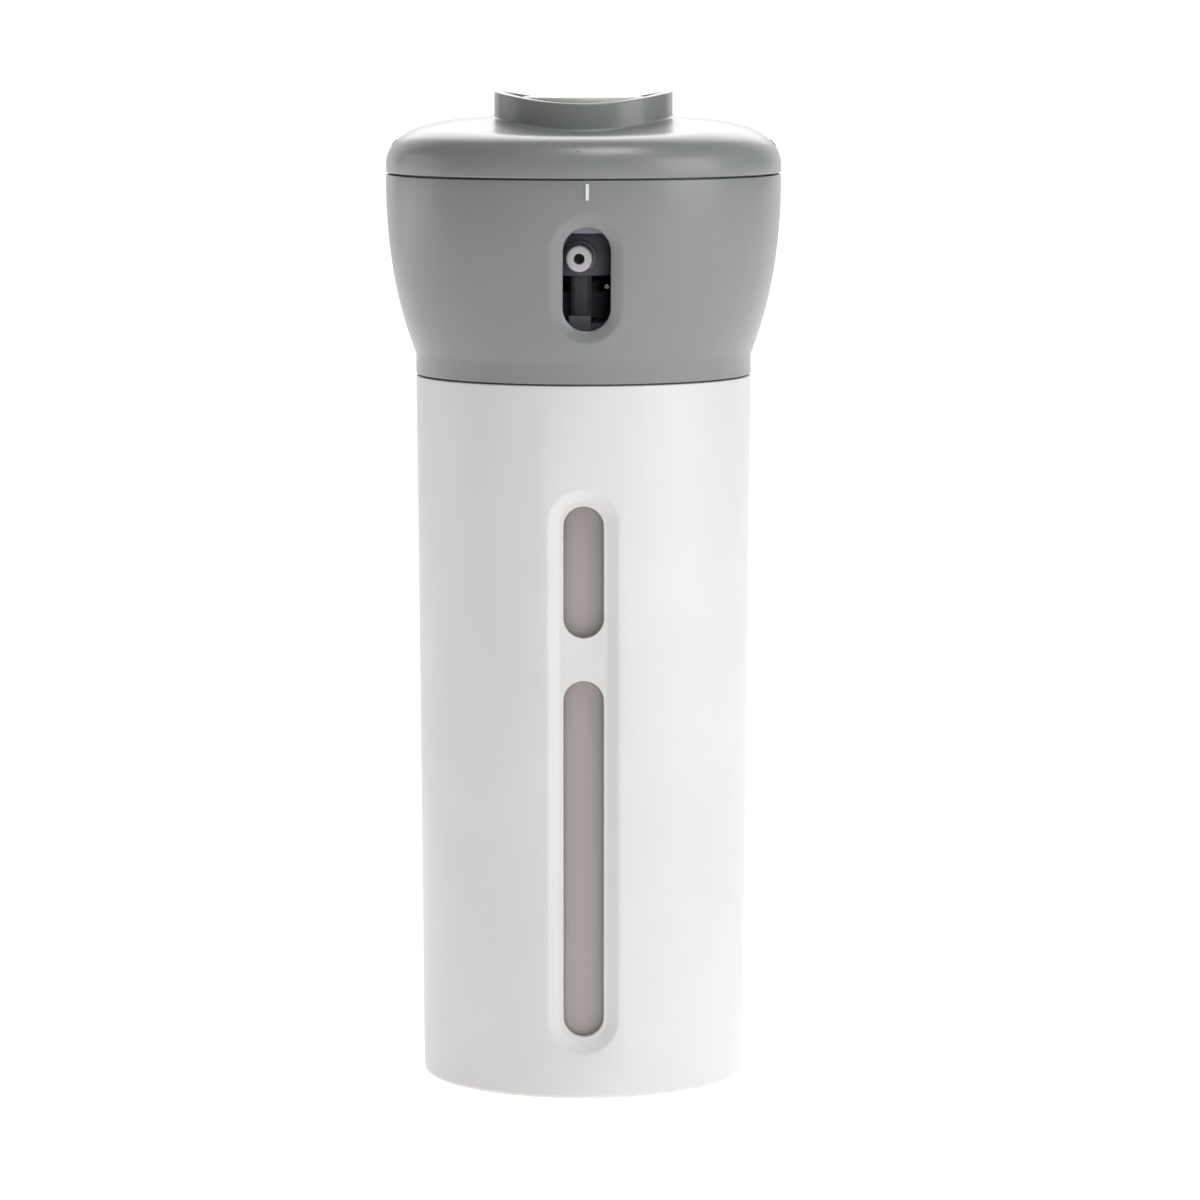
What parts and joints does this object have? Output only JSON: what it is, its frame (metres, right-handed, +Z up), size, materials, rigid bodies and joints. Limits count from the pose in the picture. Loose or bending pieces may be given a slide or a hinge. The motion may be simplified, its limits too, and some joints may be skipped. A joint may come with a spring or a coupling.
{
  "type": "travel dispenser bottle",
  "caption": "Cylindrical travel toiletry dispenser: white sleeve with sight windows, flared grey pump collar with a nozzle slot, turning domed lid and centre push button.",
  "frame": {"origin": "middle of the foot ring that the dispenser stands on", "axes": "+Z is up along the sleeve; the nozzle slot faces -Y; +X is to the right as seen from the slot's side"},
  "size_m": [0.075, 0.0752, 0.188],
  "materials": {
    "sleeve_white": "satin moulded, white",
    "head_grey": "satin moulded, mid grey",
    "button_pale": "satin moulded, warm pale grey",
    "inner_dark": "moulded, charcoal",
    "nozzle_white": "moulded, white",
    "bottle_translucent": "blow-moulded, frosted translucent",
    "tube_translucent": "natural polypropylene",
    "gasket_white": "soft, off-white",
    "spring_steel": "drawn steel"
  },
  "bodies": {
    "sleeve": {"outer_sleeve": "sleeve_white"},
    "head": {"collar": "head_grey"},
    "turret": {"lid": "head_grey", "turret": "inner_dark", "return_spring": "spring_steel", "bottle_1": "bottle_translucent", "bottle_2": "bottle_translucent", "bottle_3": "bottle_translucent", "bottle_4": "bottle_translucent", "closure_1": "inner_dark", "closure_2": "inner_dark", "closure_3": "inner_dark", "closure_4": "inner_dark", "gasket_1": "gasket_white", "gasket_2": "gasket_white", "gasket_3": "gasket_white", "gasket_4": "gasket_white", "chamber_1": "tube_translucent", "chamber_2": "tube_translucent", "chamber_3": "tube_translucent", "chamber_4": "tube_translucent", "check_ball_1": "spring_steel", "check_ball_2": "spring_steel", "check_ball_3": "spring_steel", "check_ball_4": "spring_steel", "pump_spring_1": "spring_steel", "pump_spring_2": "spring_steel", "pump_spring_3": "spring_steel", "pump_spring_4": "spring_steel", "dip_tube_1": "tube_translucent", "dip_tube_2": "tube_translucent", "dip_tube_3": "tube_translucent", "dip_tube_4": "tube_translucent"},
    "press": {"button": "button_pale", "presser": "inner_dark"},
    "pump_1": {"stem_1": "nozzle_white", "actuator_1": "inner_dark", "nozzle_1": "nozzle_white"},
    "pump_2": {"stem_2": "nozzle_white", "actuator_2": "inner_dark", "nozzle_2": "nozzle_white"},
    "pump_3": {"stem_3": "nozzle_white", "actuator_3": "inner_dark", "nozzle_3": "nozzle_white"},
    "pump_4": {"stem_4": "nozzle_white", "actuator_4": "inner_dark", "nozzle_4": "nozzle_white"}
  },
  "joints": [
    {"name": "head_lift", "type": "slide", "parent": "sleeve", "child": "head", "axis": [0, 0, 1], "range_m": [0, 0.145]},
    {"name": "turret_turn", "type": "hinge", "parent": "head", "child": "turret", "pos_m": [0, 0, 0.1418], "axis": [0, 0, 1], "range_deg": [-6.5, 278.5]},
    {"name": "button_press", "type": "slide", "parent": "head", "child": "press", "axis": [0, 0, -1], "range_m": [0, 0.008], "stiffness_N_per_m": 250, "springref_m": -0.004, "deforming": ["return_spring"]},
    {"name": "pump_1_stroke", "type": "slide", "parent": "turret", "child": "pump_1", "axis": [0, 0, -1], "range_m": [0, 0.008], "stiffness_N_per_m": 250, "springref_m": -0.004, "deforming": ["pump_spring_1"]},
    {"name": "pump_2_stroke", "type": "slide", "parent": "turret", "child": "pump_2", "axis": [0, 0, -1], "range_m": [0, 0.008], "stiffness_N_per_m": 250, "springref_m": -0.004, "deforming": ["pump_spring_2"]},
    {"name": "pump_3_stroke", "type": "slide", "parent": "turret", "child": "pump_3", "axis": [0, 0, -1], "range_m": [0, 0.008], "stiffness_N_per_m": 250, "springref_m": -0.004, "deforming": ["pump_spring_3"]},
    {"name": "pump_4_stroke", "type": "slide", "parent": "turret", "child": "pump_4", "axis": [0, 0, -1], "range_m": [0, 0.008], "stiffness_N_per_m": 250, "springref_m": -0.004, "deforming": ["pump_spring_4"]}
  ],
  "couplings": [
    {"joint": "pump_1_stroke", "follows": "button_press", "ratio": 1}
  ]
}
